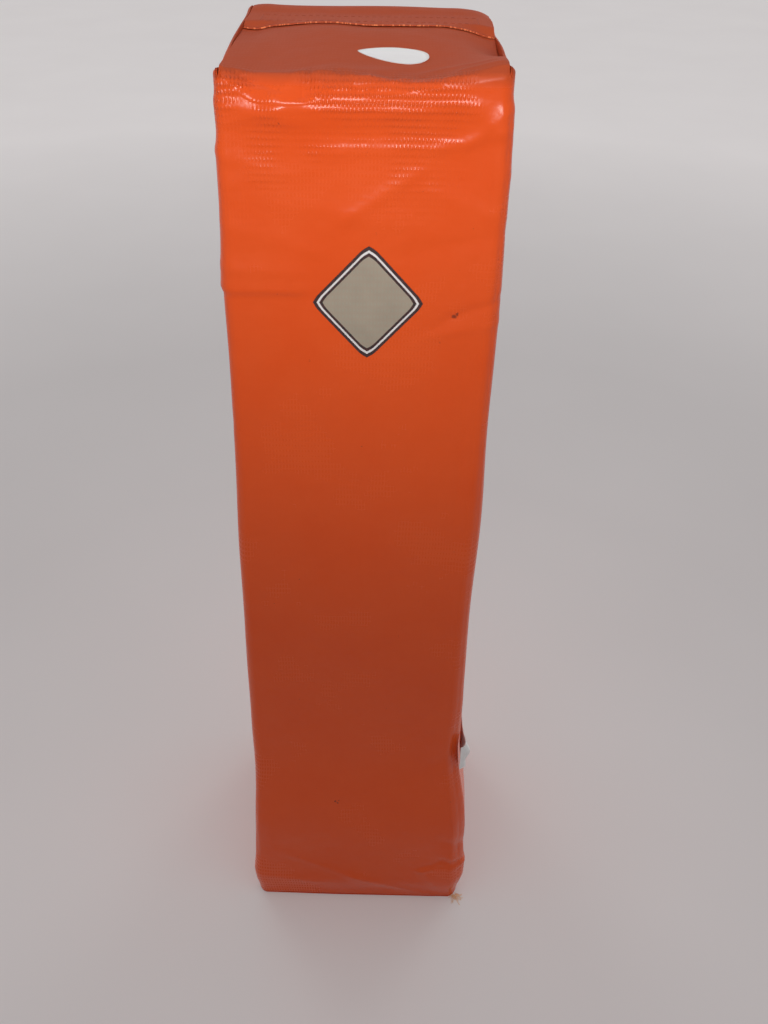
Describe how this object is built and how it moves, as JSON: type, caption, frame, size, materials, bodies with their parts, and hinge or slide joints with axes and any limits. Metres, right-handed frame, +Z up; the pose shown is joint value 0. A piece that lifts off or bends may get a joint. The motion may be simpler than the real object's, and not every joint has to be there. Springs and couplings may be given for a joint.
{
  "type": "football end zone pylon",
  "caption": "Upright square orange marker with a foam core, a weighted foot, a coated cloth cover and a hook-and-loop top flap.",
  "frame": {"origin": "the middle of the foot, on the surface that the pylon stands on", "axes": "+Z up along the pylon, -Y out of the front wall, which carries the decal, +X to the right of someone who faces that wall"},
  "size_m": [0.1162, 0.1162, 0.4581],
  "materials": {
    "coated_cloth": "gloss",
    "hook_and_loop": "matte",
    "foam": "matte",
    "pouch_cloth": "matte",
    "sand": "matte",
    "decal_print": "satin",
    "sticker_film": "satin",
    "label_satin": "satin",
    "sewing_thread": "satin"
  },
  "bodies": {
    "cover": {"cover_wrap": "coated_cloth", "base_panel": "coated_cloth", "left_top_gusset": "coated_cloth", "right_top_gusset": "coated_cloth", "foam_core": "foam", "ballast_pouch": "pouch_cloth", "pouch_top_panel": "pouch_cloth", "ballast_sand": "sand", "front_decal": "decal_print", "corner_seam_thread": "sewing_thread", "base_seam_thread": "sewing_thread", "pouch_seam_thread": "sewing_thread"},
    "closing_flap": {"closing_flap": "coated_cloth", "hook_tape": "hook_and_loop", "hook_tape_thread": "sewing_thread"},
    "front_top_flap": {"front_top_flap": "coated_cloth", "loop_tape": "hook_and_loop", "loop_tape_thread": "sewing_thread", "top_sticker": "sticker_film"},
    "seam_label": {"seam_label": "label_satin"}
  },
  "joints": [
    {"name": "closing_flap_fold", "type": "hinge", "parent": "cover", "child": "closing_flap", "pos_m": [0, 0.0525, 0.45185], "axis": [-1, 0, 0], "range_deg": [0, 170]},
    {"name": "front_top_flap_fold", "type": "hinge", "parent": "cover", "child": "front_top_flap", "pos_m": [0, -0.0525, 0.45185], "axis": [1, 0, 0], "range_deg": [0, 34]},
    {"name": "seam_label_turn", "type": "hinge", "parent": "cover", "child": "seam_label", "pos_m": [0.05174, -0.05174, 0.1105], "axis": [0, 0, -1], "range_deg": [0, 140]}
  ],
  "couplings": [
    {"joint": "front_top_flap_fold", "follows": "closing_flap_fold", "ratio": 0.2}
  ]
}
